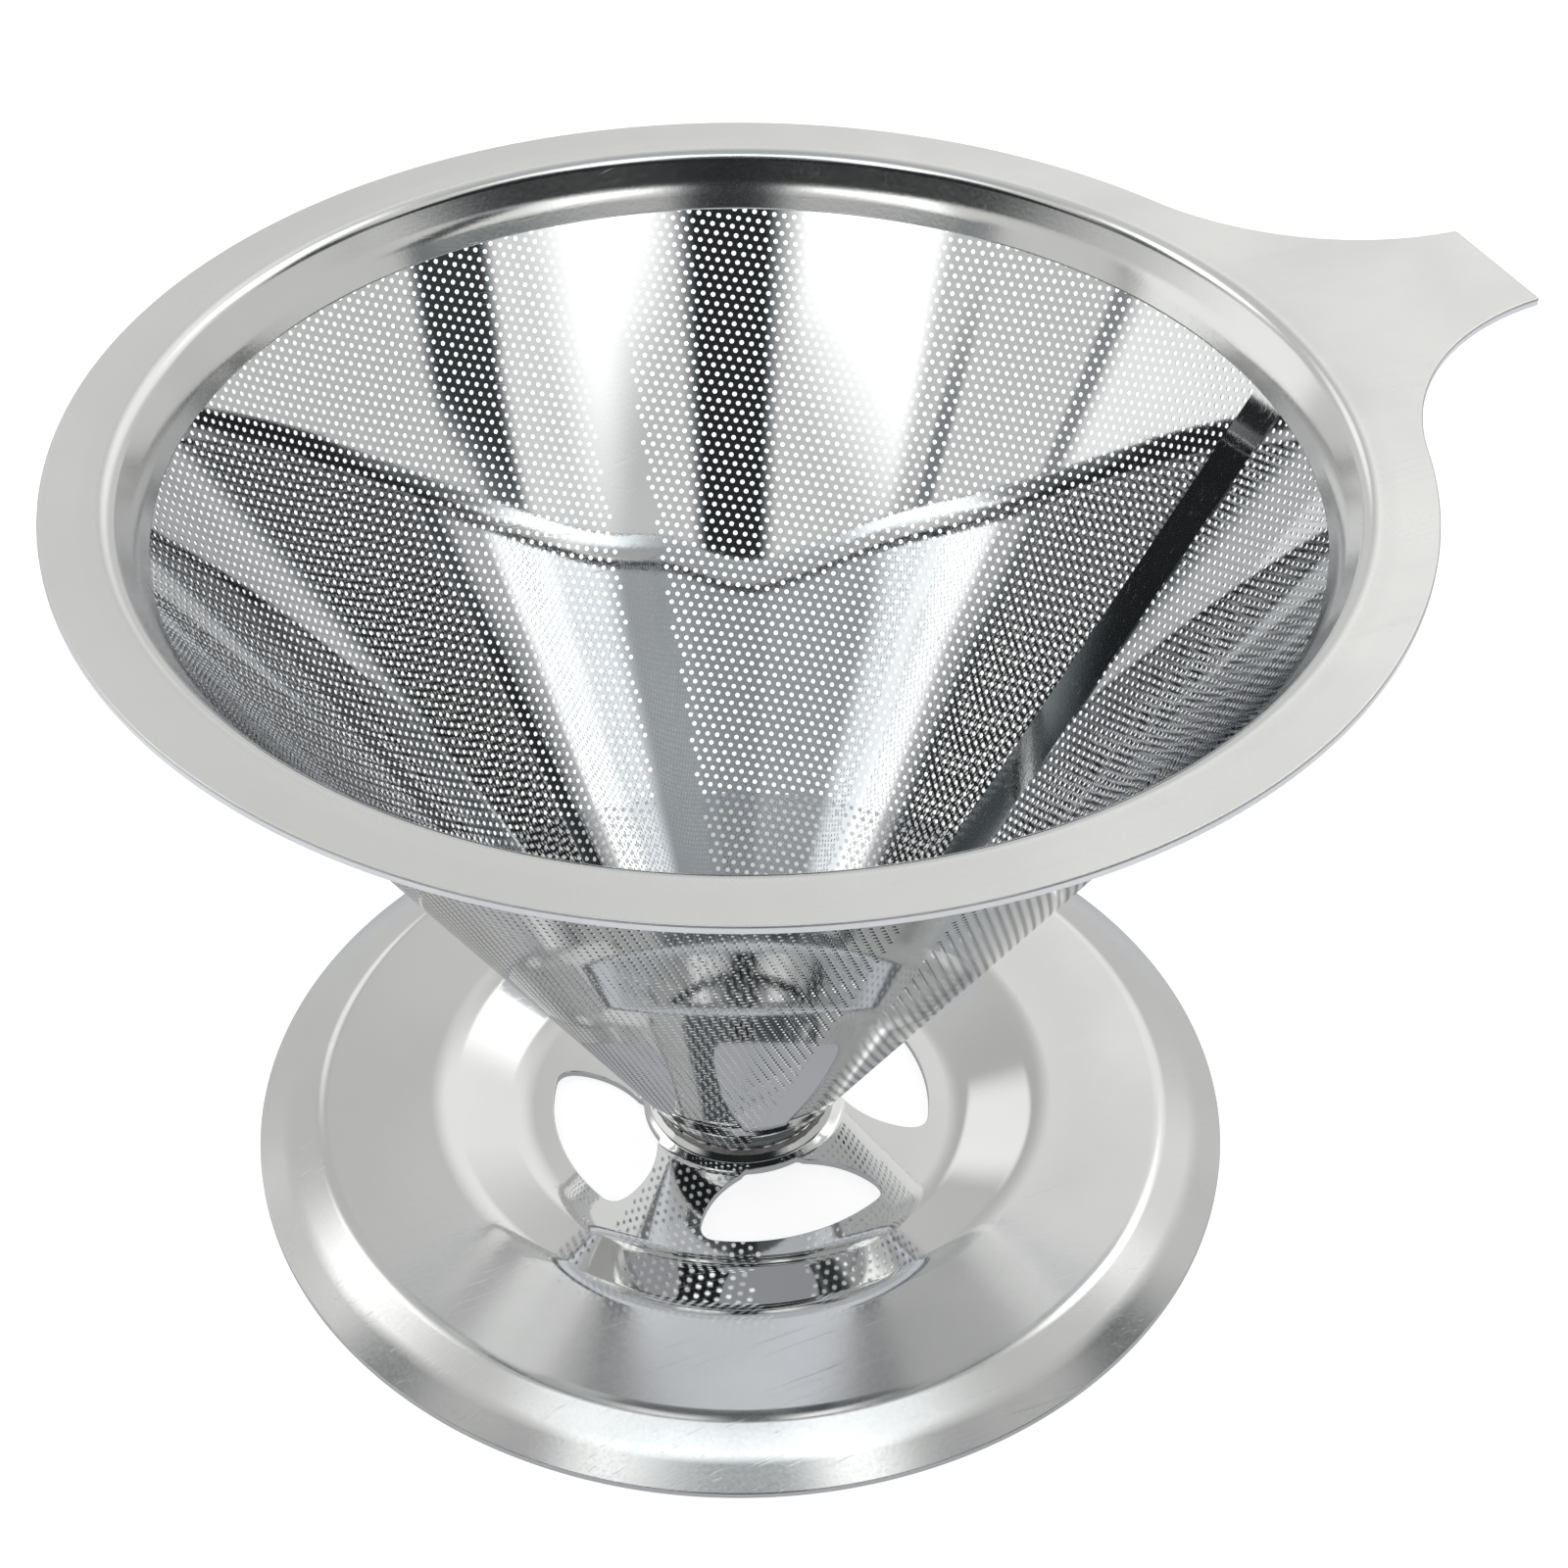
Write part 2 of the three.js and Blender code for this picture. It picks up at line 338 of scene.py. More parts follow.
def rim_outline():
    """Points and outward normals of the flat ring's edge with its tab, anticlockwise from +X."""
    reach, half_width, neck, corner = 82.2, 7.1, 29.0, 0.4
    away = half_width + neck
    along = math.sqrt((OUTER + neck) ** 2 - away**2)
    leave = math.atan2(away, along)
    end = math.asin((reach - corner - along) / neck)
    points, normals = [], []
    neck_end = away - neck * math.cos(end)
    for y in np.linspace(0, neck_end - corner, 5)[:-1]:
        points.append((reach, y))
        normals.append((1, 0))
    for t in np.linspace(0, 1, 9)[:-1]:
        a = t * (math.pi / 2 + end)
        points.append((reach - corner + corner * math.cos(a), neck_end - corner + corner * math.sin(a)))
        normals.append((math.cos(a), math.sin(a)))
    for a in np.linspace(end, leave - math.pi / 2, 48)[1:-1]:
        points.append((along + neck * math.sin(a), away - neck * math.cos(a)))
        normals.append((-math.sin(a), math.cos(a)))
    for a in np.linspace(leave, math.pi, 160):
        points.append((OUTER * math.cos(a), OUTER * math.sin(a)))
        normals.append((math.cos(a), math.sin(a)))
    upper_p, upper_n = np.array(points), np.array(normals)
    lower_p, lower_n = upper_p[-2:0:-1] * (1, -1), upper_n[-2:0:-1] * (1, -1)
    return np.concatenate([upper_p, lower_p]), np.concatenate([upper_n, lower_n])


def rim_piece():
    back = SHEET / math.cos(math.radians(28))
    flat = THROAT + COLLAR_SLOPE * (TOP - THROAT_Z)
    under = THROAT + back + COLLAR_SLOPE * (TOP - SHEET - THROAT_Z)
    profile = rounded([
        (THROAT + back + 0.2, THROAT_Z, 0.1),
        (under, TOP - SHEET, 1.0),
        (OUTER, TOP - SHEET, 0.12),
        (OUTER, TOP, 0.22),
        (THROAT + 5.6, TOP, 14.0),
        (flat + 0.25, TOP - 0.12, 1.9),
        (THROAT + 1.0, THROAT_Z + 2.2, 9.0),
        (THROAT, THROAT_Z, 0.2),
    ], steps=8)
    outline, outward = rim_outline()
    angles = np.arctan2(outline[:, 1], outline[:, 0])
    verts = np.zeros((len(outline), len(profile), 3))
    norms = np.zeros_like(verts)
    spoke = np.stack([np.cos(angles), np.sin(angles)], 1)
    for j, (r, z, nr, nz) in enumerate(profile):
        at_edge = r > OUTER - 1
        place = outline + outward * (r - OUTER) if at_edge else spoke * r
        lean = outward if at_edge else spoke
        verts[:, j, :2], verts[:, j, 2] = place, z
        norms[:, j, :2], norms[:, j, 2] = lean * nr, nz
    return write_mesh("rim_plate", *grid(verts, norms), SATIN)


# ---- filter: one etched sheet rolled into a cone ---------------------------------------------------

PITCH = 1.0516
HOLE = 0.52
LATTICE_TURN = 52.0
BANDS = (-4.4, 83.4, 174.0, 264.0, 355.6)
BAND_HALF = 2.15
ETCHED = 0.12
RHO_LOW, RHO_HIGH = (0.6 - APEX) / COS, (82.3 - APEX) / COS
HOLES_LOW, HOLES_HIGH = (3.4 - APEX) / COS, (79.0 - APEX) / COS
FLAT_START = 90 * (1 - SIN) + VIEW_TURN * SIN


def to_flat(angle):
    return math.radians(FLAT_START + angle * SIN)


def clip(polygon, inside):
    """The part of a polygon where inside(points) is positive; crossings are found by halving."""
    values = inside(polygon)
    if (values >= 0).all():
        return polygon
    if (values < 0).all():
        return polygon[:0]
    kept = []
    for i in range(len(polygon)):
        a, b, fa, fb = polygon[i - 1], polygon[i], values[i - 1], values[i]
        if (fa >= 0) != (fb >= 0):
            low, high = (a, b) if fa < fb else (b, a)
            f_low, f_high = 0.0, 1.0
            for _ in range(40):
                middle = (f_low + f_high) / 2
                if inside((low + (high - low) * middle)[None])[0] < 0:
                    f_low = middle
                else:
                    f_high = middle
            kept.append(low + (high - low) * f_high)
        if fb >= 0:
            kept.append(b)
    return np.array(kept)


def ring_triangles(outer_angles, inner_angles):
    """Triangles between two closed rings of points; the outer ring is numbered first."""
    o, k = len(outer_angles), len(inner_angles)
    triangles, i, j = [], 0, 0
    whole_turn = 2 * math.pi
    zero = outer_angles[0]
    apart = [(a - zero + math.pi) % whole_turn - math.pi for a in inner_angles]
    start = int(np.argmin(np.abs(apart)))
    outer = [zero + (a - zero) % whole_turn for a in outer_angles] + [zero + whole_turn]
    inner = [zero + apart[start] + whole_turn * t / k for t in range(k + 1)]
    while i < o or j < k:
        if j == k or (i < o and outer[i + 1] + outer[i] < inner[j + 1] + inner[j]):
            triangles.append((i % o, (i + 1) % o, o + (start + j) % k))
            i += 1
        else:
            triangles.append((o + (start + j + 1) % k, o + (start + j) % k, i % o))
            j += 1
    return np.array(triangles)


def flat_panel(start, end):
    """Points and triangles, in the flat sheet, of the part between two plain bands."""
    a, b = to_flat(start), to_flat(end)
    left, right = np.array((-math.sin(a), math.cos(a))), np.array((math.sin(b), -math.cos(b)))
    limits = (
        lambda p: p @ left,
        lambda p: p @ right,
        lambda p: np.hypot(p[:, 0], p[:, 1]) - RHO_LOW,
        lambda p: RHO_HIGH - np.hypot(p[:, 0], p[:, 1]),
    )
    turn = math.radians(LATTICE_TURN)
    one = PITCH * np.array((math.cos(turn), math.sin(turn)))
    two = PITCH * np.array((math.cos(turn + math.pi / 3), math.sin(turn + math.pi / 3)))
    reach = int(RHO_HIGH / PITCH * 1.3)
    i, j = np.meshgrid(np.arange(-reach, reach + 1), np.arange(-reach, reach + 1))
    centres = i.reshape(-1, 1) * one + j.reshape(-1, 1) * two
    corner_angles = turn + math.radians(30) + np.arange(6) * math.pi / 3
    corners = PITCH / math.sqrt(3) * np.stack([np.cos(corner_angles), np.sin(corner_angles)], 1)
    hole_angles = turn + np.arange(8) * math.pi / 4
    hole = HOLE / 2 * np.stack([np.cos(hole_angles), np.sin(hole_angles)], 1)
    margin = np.min([f(centres) for f in limits], axis=0)
    centres = centres[margin > -PITCH]
    margin = margin[margin > -PITCH]
    rho = np.hypot(centres[:, 0], centres[:, 1])
    side = np.minimum(centres @ left, centres @ right)
    holed = (side > BAND_HALF + HOLE / 2) & (rho > HOLES_LOW) & (rho < HOLES_HIGH)
    whole = centres[holed]
    pattern = ring_triangles(corner_angles, hole_angles)
    cell = np.concatenate([corners, hole])
    points = [(whole[:, None] + cell[None]).reshape(-1, 2)]
    triangles = [(np.arange(len(whole))[:, None, None] * len(cell) + pattern[None]).reshape(-1, 3)]
    base = len(points[0])
    for centre, gap in zip(centres[~holed], margin[~holed]):
        polygon = centre + corners
        if gap < PITCH:
            for limit in limits:
                if len(polygon):
                    polygon = clip(polygon, limit)
        if len(polygon) < 3:
            continue
        points.append(polygon)
        triangles.append(np.array([(base, base + k, base + k + 1) for k in range(1, len(polygon) - 1)]))
        base += len(polygon)
    points, triangles = np.concatenate(points), np.concatenate(triangles)
    _, first, where = np.unique(np.round(points, 4), axis=0, return_index=True, return_inverse=True)
    triangles = where.ravel()[triangles]
    points = points[first]
    distinct = (triangles[:, 0] != triangles[:, 1]) & (triangles[:, 1] != triangles[:, 2])
    distinct &= triangles[:, 2] != triangles[:, 0]
    triangles = triangles[distinct]
    p, q, r = points[triangles[:, 0]], points[triangles[:, 1]], points[triangles[:, 2]]
    area = (q[:, 0] - p[:, 0]) * (r[:, 1] - p[:, 1]) - (q[:, 1] - p[:, 1]) * (r[:, 0] - p[:, 0])
    triangles[area < 0] = triangles[area < 0][:, ::-1]
    return points, triangles, len(whole)


def dent(angle, z):
    """How far the rolled sheet strays from a true cone, in millimetres along its outward normal."""
    swell = 0.03 * np.sin(np.radians(3 * angle + 40)) + 0.018 * np.sin(np.radians(7 * angle + 100) + z / 19)
    return swell * np.clip((z - 2) / 30, 0, 1) * np.clip((81 - z) / 12, 0, 1)


def roll(points, depth):
    """Points of the flat sheet on the cone, depth outside its inner face, with the outward normals."""
    rho = np.hypot(points[:, 0], points[:, 1])
    flat = np.arctan2(points[:, 1], points[:, 0])
    flat = np.where(flat < to_flat(-15), flat + 2 * math.pi, flat)
    angle = (np.degrees(flat) - FLAT_START) / SIN
    turn = np.radians(angle)
    z = APEX + rho * COS
    out = np.stack([COS * np.cos(turn), COS * np.sin(turn), np.full_like(turn, -SIN)], 1)
    place = np.stack([rho * SIN * np.cos(turn), rho * SIN * np.sin(turn), z], 1)
    return place + out * (depth + dent(angle, z))[:, None], out, angle, z


def hollow(angle, z):
    """Slope that the sheet's inner face gains towards the mouth, where it is drawn in by the weld."""
    left_swell = 0.0150 * np.exp(-(((angle - 78) / 9.5) ** 2))
    right_swell = 0.0175 * np.exp(-(((angle - 41) / 17) ** 2))
    return (0.0262 + left_swell + right_swell) * np.clip((z - 28) / 16, 0, 1)


def leaned(out, angle, z, extra=0.0):
    """The outward normal with the dents' slope in it."""
    step = 0.5
    radius = np.maximum((z - APEX) * SLOPE, 1)
    turn = np.radians(angle)
    across = (dent(angle + step, z) - dent(angle - step, z)) / (2 * math.radians(step) * radius)
    along = (dent(angle, z + step) - dent(angle, z - step)) / (2 * step) * COS - extra
    round_way = np.stack([-np.sin(turn), np.cos(turn), 0 * turn], 1)
    up_way = np.stack([SIN * np.cos(turn), SIN * np.sin(turn), np.full_like(turn, COS)], 1)
    return out - across[:, None] * round_way - along[:, None] * up_way


def sheet_piece(name, points, triangles, depth, thickness, material, pressed=None):
    """A closed solid of a triangulated piece of the flat sheet, rolled on to the cone.

    A pressed piece faces the angle `pressed` and keeps only a third of the cone's curve in its reflections.
    """
    inner, out, angle, z = roll(points, depth)
    outer = roll(points, depth + thickness)[0]
    normal = leaned(out, angle, z)
    hollowed = leaned(out, angle, z, hollow(np.where(angle > 200, angle - 360, angle), z))
    if pressed is not None:
        turn = np.radians(pressed + (angle - BANDS[0]) / 3)
        flattened = np.stack([COS * np.cos(turn), COS * np.sin(turn), np.full_like(turn, -SIN)], 1) - out
        normal, hollowed = normal + flattened, hollowed + flattened
    count = len(points)
    edges = np.concatenate([triangles[:, [0, 1]], triangles[:, [1, 2]], triangles[:, [2, 0]]])
    key = edges[:, 0].astype(np.int64) * count + edges[:, 1]
    twin = edges[:, 1].astype(np.int64) * count + edges[:, 0]
    rim = edges[~np.isin(key, twin)]
    verts = np.concatenate([inner, outer])
    tri = np.concatenate([triangles[:, ::-1], triangles + count])
    quads = np.stack([rim[:, 0], rim[:, 1], rim[:, 1] + count, rim[:, 0] + count], 1)
    wall = np.cross(verts[quads[:, 1]] - verts[quads[:, 0]], verts[quads[:, 3]] - verts[quads[:, 0]])
    last = verts[tri[-1]]
    if np.cross(last[1] - last[0], last[2] - last[0]) @ normal[triangles[-1][0]] < 0:
        tri, quads, wall = tri[:, ::-1], quads[:, ::-1], -wall
    corner_normals = np.concatenate([-hollowed, normal])[tri]
    normals = np.concatenate([corner_normals.reshape(-1, 3), np.repeat(wall, 4, axis=0)])
    return write_triangles(name, verts, tri, quads, normals, material)


def flat_strip(centre_angle, low, high, left, right, across=10, along=120):
    """A plain strip along a generator of the cone, from `left` to `right` of it in the flat sheet."""
    a = to_flat(centre_angle)
    run, over = np.array((math.cos(a), math.sin(a))), np.array((-math.sin(a), math.cos(a)))
    s, t = np.meshgrid(np.linspace(left, right, across + 1), np.linspace(low, high, along + 1))
    points = t.reshape(-1, 1) * run + s.reshape(-1, 1) * over
    triangles = []
    for i in range(along):
        for j in range(across):
            k = i * (across + 1) + j
            triangles += [(k, k + 1, k + across + 2), (k, k + across + 2, k + across + 1)]
    return points, np.array(triangles)[:, ::-1]


# ---- stand ------------------------------------------------------------------------------------

PLATE_TOP = [
    (cone_outer(2.3) + 0.3, 2.35, 0.2),
    (9.85, 1.62, 0.8),
    (10.95, 1.1, 1.6),
    (23.6, 1.1, 8.0),
    (31.8, 4.0, 8.0),
    (44.8, 4.0, 3.6),
    (48.5, 2.3, 18.0),
    (51.5, 0.62, 0.2),
]
FLOOR_IN, FLOOR_OUT = 10.35, 21.9


def window_outline(centre):
    """One window, anticlockwise: outer arc, bowed sides that leave narrow legs, inner arc round the hub."""

    def polar(radius, angle):
        a = math.radians(angle)
        return np.array((radius * math.cos(a), radius * math.sin(a)))

    def bend(p, q, r, steps):
        t = np.linspace(0, 1, steps + 1)[:, None]
        return (1 - t) ** 2 * p + 2 * t * (1 - t) * q + t**2 * r

    far, near, half_angle = 20.2, 10.5, 31.5
    half = [polar(far, a) for a in np.linspace(0, 26, 15)]
    half += list(bend(polar(far, 26), polar(far, half_angle), polar(17.6, half_angle), 12))[1:]
    half += list(bend(polar(17.6, half_angle), polar(13.8, half_angle), polar(11.0, 18), 14))[1:]
    half += list(bend(polar(11.0, 18), polar(near, 16.5), polar(near, 14.5), 5))[1:]
    half += [polar(near, a) for a in np.linspace(14.5, 0, 8)][1:]
    upper = np.array(half)
    lower = upper[-2:0:-1] * (1, -1)
    c, s = math.cos(math.radians(centre)), math.sin(math.radians(centre))
    return np.concatenate([upper, lower]) @ np.array(((c, s), (-s, c)))


def outline_normals(points):
    run = np.roll(points, -1, 0) - np.roll(points, 1, 0)
    run /= np.linalg.norm(run, axis=1, keepdims=True)
    return np.stack([run[:, 1], -run[:, 0]], 1)


def within(points, polygon):
    x, y = points[:, 0][:, None], points[:, 1][:, None]
    a, b = polygon, np.roll(polygon, -1, 0)
    crosses = (a[:, 1] > y) != (b[:, 1] > y)
    rise = np.where(b[:, 1] == a[:, 1], 1, b[:, 1] - a[:, 1])
    at = a[:, 0] + (y - a[:, 1]) * (b[:, 0] - a[:, 0]) / rise
    return (crosses & (x < at)).sum(1) % 2 == 1


def floor_part(rows, windows, around):
    """The windowed floor between two circles: rows give the face's height and normal at each radius."""
    order = np.argsort(rows[:, 0])
    radii, heights, nr, nz = rows[order].T
    ring = np.arange(around) * 2 * math.pi / around
    circle = np.stack([np.cos(ring), np.sin(ring)], 1)
    points, edges = [], []

    def add_loop(loop):
        base = len(points)
        points.extend(map(tuple, loop))
        edges.extend((base + k, base + (k + 1) % len(loop)) for k in range(len(loop)))

    add_loop(circle * FLOOR_OUT)
    add_loop(circle * FLOOR_IN)
    for outline in windows:
        add_loop(outline)
    for radius in (10.65, 10.95, 11.3, 11.7, 12.3, 14.0, 17.0, 20.9, 21.4):
        extra = circle[:: 2 if radius > 12 else 1] * radius
        clear = np.ones(len(extra), bool)
        for outline in windows:
            near = np.linalg.norm(extra[:, None] - outline[None], axis=2).min(1) < 0.15
            clear &= ~within(extra, outline) & ~near
        points.extend(map(tuple, extra[clear]))
    made = delaunay_2d_cdt([Vector(p) for p in points], edges, [], 0, 1e-6)
    flat = np.array([tuple(v) for v in made[0]])
    triangles = np.array([f for f in made[2] if len(f) == 3])
    middle = flat[triangles].mean(1)
    size = np.hypot(middle[:, 0], middle[:, 1])
    keep = (size < FLOOR_OUT) & (size > FLOOR_IN * math.cos(math.pi / around))
    for outline in windows:
        keep &= ~within(middle, outline)
    triangles = triangles[keep]
    radius = np.hypot(flat[:, 0], flat[:, 1])
    z = np.interp(radius, radii, heights)
    lean, up = np.interp(radius, radii, nr), np.interp(radius, radii, nz)
    safe = np.maximum(radius, 1e-6)
    normal = np.stack([flat[:, 0] / safe * lean, flat[:, 1] / safe * lean, up], 1)
    verts = np.column_stack([flat, z])
    a, b, c = verts[triangles[:, 0]], verts[triangles[:, 1]], verts[triangles[:, 2]]
    wrong = np.cross(b - a, c - a)[:, 2] * np.sign(up.mean()) < 0
    triangles[wrong] = triangles[wrong][:, ::-1]
    return verts, triangles.tolist(), normal[triangles].reshape(-1, 3)


def wall_part(outline, top_height, low_height, edge):
    """A window's cut wall, with a small rounded edge above and below."""
    out = outline_normals(outline)
    radius = np.hypot(outline[:, 0], outline[:, 1])
    top, low = np.interp(radius, *top_height), np.interp(radius, *low_height)
    rings = [
        (outline + out * edge, top, 0.0, 1.0),
        (outline + out * edge * 0.3, top - edge * 0.3, -0.7, 0.7),
        (outline, top - edge, -1.0, 0.0),
        (outline, low + edge, -1.0, 0.0),
        (outline + out * edge * 0.3, low + edge * 0.3, -0.7, -0.7),
        (outline + out * edge, low, 0.0, -1.0),
    ]
    verts = np.stack([np.column_stack([place, z]) for place, z, _, _ in rings], 1)
    norms = np.stack([np.column_stack([out * side, np.full(len(out), up)]) for _, _, side, up in rings], 1)
    v, faces, normals = grid(verts, norms, closed=False)
    return v, faces, normals


def stand_piece():
    around = 288
    under = offset_corners(PLATE_TOP, SHEET)
    under[-1] = (50.95, 0.0, 0.05)
    loop = rounded(under + [(51.5, 0.0, 0.08)] + PLATE_TOP[::-1], steps=10)
    top_face, low_face, edges = loop[loop[:, 3] > 0.3], loop[loop[:, 3] < -0.3], loop[abs(loop[:, 3]) <= 0.3]

    def row_at(rows, radius):
        rows = rows[np.argsort(rows[:, 0])]
        return np.array([radius, *(np.interp(radius, rows[:, 0], rows[:, k]) for k in (1, 2, 3))])

    outer_low = sorted((r for r in low_face if r[0] > FLOOR_OUT), key=lambda r: r[0])
    outer_edge = sorted((r for r in edges if r[0] > FLOOR_OUT), key=lambda r: r[1])
    outer_top = sorted((r for r in top_face if r[0] > FLOOR_OUT), key=lambda r: -r[0])
    low_start, top_end = row_at(low_face, FLOOR_OUT), row_at(top_face, FLOOR_OUT)
    outer = np.array([low_start, *outer_low, *outer_edge, *outer_top, top_end])
    hub_top = sorted((r for r in top_face if r[0] < FLOOR_IN), key=lambda r: -r[0])
    hub_edge = sorted((r for r in edges if r[0] < FLOOR_IN), key=lambda r: -r[1])
    hub_low = sorted((r for r in low_face if r[0] < FLOOR_IN), key=lambda r: r[0])
    hub = np.array([row_at(top_face, FLOOR_IN), *hub_top, *hub_edge, *hub_low, row_at(low_face, FLOOR_IN)])
    outlines = [window_outline(CLOCKING + 90 * k) for k in range(4)]
    edge_round = 0.13
    wide = [o + outline_normals(o) * edge_round for o in outlines]
    sort_top, sort_low = top_face[np.argsort(top_face[:, 0])], low_face[np.argsort(low_face[:, 0])]
    parts = [lathe(outer, around, closed=False), lathe(hub, around, closed=False)]
    parts.append(floor_part(sort_top, wide, around))
    parts.append(floor_part(sort_low, wide, around))
    for outline in outlines:
        parts.append(wall_part(outline, (sort_top[:, 0], sort_top[:, 1]), (sort_low[:, 0], sort_low[:, 1]),
                               edge_round))
    return write_mesh("stand_plate", *join(*parts), DISH)


# ---- build ------------------------------------------------------------------------------------

rim_plate = rim_piece()
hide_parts("rim")
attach(rim_plate, "root")

hole_count = 0
for number, (start, end) in enumerate(zip(BANDS, BANDS[1:]), 1):
    points, triangles, holes = flat_panel(start, end)
    hole_count += holes
    panel = sheet_piece(f"filter_panel_{number}", points, triangles, 0.0, ETCHED, MIRROR)
    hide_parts("filter_cone")
    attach(panel, "root")
print("holes", hole_count)

points, triangles = flat_strip(BANDS[0], (2.6 - APEX) / COS, (79.15 - APEX) / COS, -2.6, 2.2)
seam = sheet_piece("filter_seam", points, triangles, -0.14, ETCHED, MIRROR, pressed=BANDS[0] - 1.2)
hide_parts("filter_cone")
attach(seam, "root")

stand_plate = stand_piece()
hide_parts("stand")
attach(stand_plate, "root")

skirt = 0.5 * math.hypot(1, SLOPE)


def cap_outer(z):
    return cone_inner(z) - 0.2


cap_profile = rounded([
    (0.0, 0.0, 0.01),
    (cap_outer(0), 0.0, 0.4),
    (cap_outer(3.6), 3.6, 0.15),
    (cap_outer(3.6) - skirt, 3.6, 0.15),
    (cap_outer(0.5) - skirt, 0.5, 0.6),
    (0.0, 0.5, 0.01),
], closed=False)
tip_cap = write_mesh("tip_cap_piece", *lathe(cap_profile, 192, closed=False), MIRROR)
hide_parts("tip_cap")
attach(tip_cap, "root")


def bead_lumps(angles):
    fine = 0.035 * np.sin(31 * angles + 0.6) + 0.025 * np.sin(47 * angles + 1.9)
    return fine + 0.02 * np.sin(13 * angles)


foot = 2.35
bead_profile = rounded([
    (cone_outer(foot) - 0.15, foot, 0.05),
    (cone_outer(foot) + 0.62, foot, 0.15),
    (cone_outer(foot + 0.3) + 0.28, foot + 0.36, 0.5),
    (cone_outer(foot + 0.65) - 0.1, foot + 0.65, 0.1),
])
# the bead's dark grey steel is painted shade for the junction of cone and plate
bead = write_mesh("hub_weld_bead", *lathe(bead_profile, 288, bump=bead_lumps), WELD)
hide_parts("hub_weld")
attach(bead, "root")

ring = nodes["collar_weld"]
for slot in ring.material_slots:
    slot.material = WELD

# ---- floor, light and camera ---------------------------------------------------------------------


def glowing(name, base, glow):
    """A plain matt stage material with some light of its own, so that it stays pale in the shade."""
    material = bpy.data.materials.new(name)
    material.use_nodes = True
    n = Nodes(material.node_tree)
    out = n.add("ShaderNodeOutputMaterial")
    matt = n.add("ShaderNodeBsdfPrincipled")
    n.link(matt.outputs[0], out.inputs[0])
    matt.inputs["Base Color"].default_value = (base, base, base, 1)
    matt.inputs["Roughness"].default_value = 0.9
    matt.inputs["Emission Color"].default_value = (1, 1, 1, 1)
    matt.inputs["Emission Strength"].default_value = glow
    return material


def stage_mesh(name, verts, faces, material):
    mesh = bpy.data.meshes.new(name)
    mesh.from_pydata(verts, [], faces)
    mesh.materials.append(material)
    thing = bpy.data.objects.new(name, mesh)
    SCENE.collection.objects.link(thing)
    return thing


def reflected_table():
    """Emission that the steel sees in place of the floor: dim under the part as a painted shadow of it,
    bright round it.
    """
    material = bpy.data.materials.new("table")
    material.use_nodes = True
    n = Nodes(material.node_tree)
    out = n.add("ShaderNodeOutputMaterial")
    glow = n.add("ShaderNodeEmission")
    n.link(glow.outputs[0], out.inputs[0])
    parts = n.add("ShaderNodeSeparateXYZ")
    n.link(n.add("ShaderNodeTexCoord").outputs["Object"], parts.inputs[0])
    x, y = parts.outputs[0], parts.outputs[1]
    far_out = n.math("SQRT", n.math("ADD", n.math("MULTIPLY", x, x), n.math("MULTIPLY", y, y)))
    # painted shadow: the table's glow is cut to 0.42 under the part, where the part's shade would fall
    under, beside = n.ramp(far_out, 0.040, 0.070, 0.42, 0.66), n.ramp(far_out, 0.09, 0.15, 1.0, 1.35)
    glow_with_painted_shadow = n.math("MULTIPLY", under, beside)
    glow.inputs["Color"].default_value = (0.93, 0.95, 1.0, 1)
    n.put(glow.inputs["Strength"], n.math("MULTIPLY", glow_with_painted_shadow, n.ramp(far_out, 0.27, 0.36, 1.0, 0.25)))
    return material


# The camera sees a white floor and backdrop; the steel sees the greyer table and the studio round it.
square = [(-4.0, -4.0, 0.0), (4.0, -4.0, 0.0), (4.0, 4.0, 0.0), (-4.0, 4.0, 0.0)]
floor = stage_mesh("floor", square, [(0, 1, 2, 3)], glowing("pale_floor", 0.5, 0.80))
floor.visible_glossy = False
table = stage_mesh("floor_as_reflected", square, [(0, 1, 2, 3)], reflected_table())
table.visible_camera = False
table.visible_diffuse = False
table.visible_shadow = False

SIDES = 32
corner_angles = [k * 2 * math.pi / SIDES for k in range(SIDES)]
wall = [(3.9 * math.cos(a), 3.9 * math.sin(a), z) for z in (-0.1, 6.0) for a in corner_angles]
wall_faces = [(k, (k + 1) % SIDES, SIDES + (k + 1) % SIDES, SIDES + k) for k in range(SIDES)]
backdrop = stage_mesh("backdrop", wall, wall_faces, glowing("pale_backdrop", 0.0, 1.0))
for flag in ("visible_glossy", "visible_diffuse", "visible_shadow", "visible_transmission"):
    setattr(backdrop, flag, False)

world = bpy.data.worlds.new("studio")
SCENE.world = world
world.use_nodes = True
n = Nodes(world.node_tree)
out = n.add("ShaderNodeOutputWorld")
sky = n.add("ShaderNodeBackground")
n.link(sky.outputs[0], out.inputs[0])
coordinates = n.add("ShaderNodeTexCoord").outputs["Generated"]
turned_to_view = n.add("ShaderNodeMapping")
n.link(coordinates, turned_to_view.inputs["Vector"])
turned_to_view.inputs["Rotation"].default_value = (0, 0, math.radians(VIEW_TURN))
parts = n.add("ShaderNodeSeparateXYZ")
n.link(turned_to_view.outputs[0], parts.inputs[0])
to_right, to_back, upward = parts.outputs
azimuth = n.math("ARCTAN2", to_right, n.math("MULTIPLY", to_back, -1.0))
azimuth = n.math("MULTIPLY", azimuth, 180 / math.pi)
elevation = n.math("MULTIPLY", n.math("ARCSINE", upward), 180 / math.pi)


def below(value, low, high):
    """One up to low, zero from high."""
    return n.ramp(value, low, high, 1.0, 0.0)


def between(value, low, high, soft):
    return n.math("MULTIPLY", n.ramp(value, low - soft, low + soft), below(value, high - soft, high + soft))


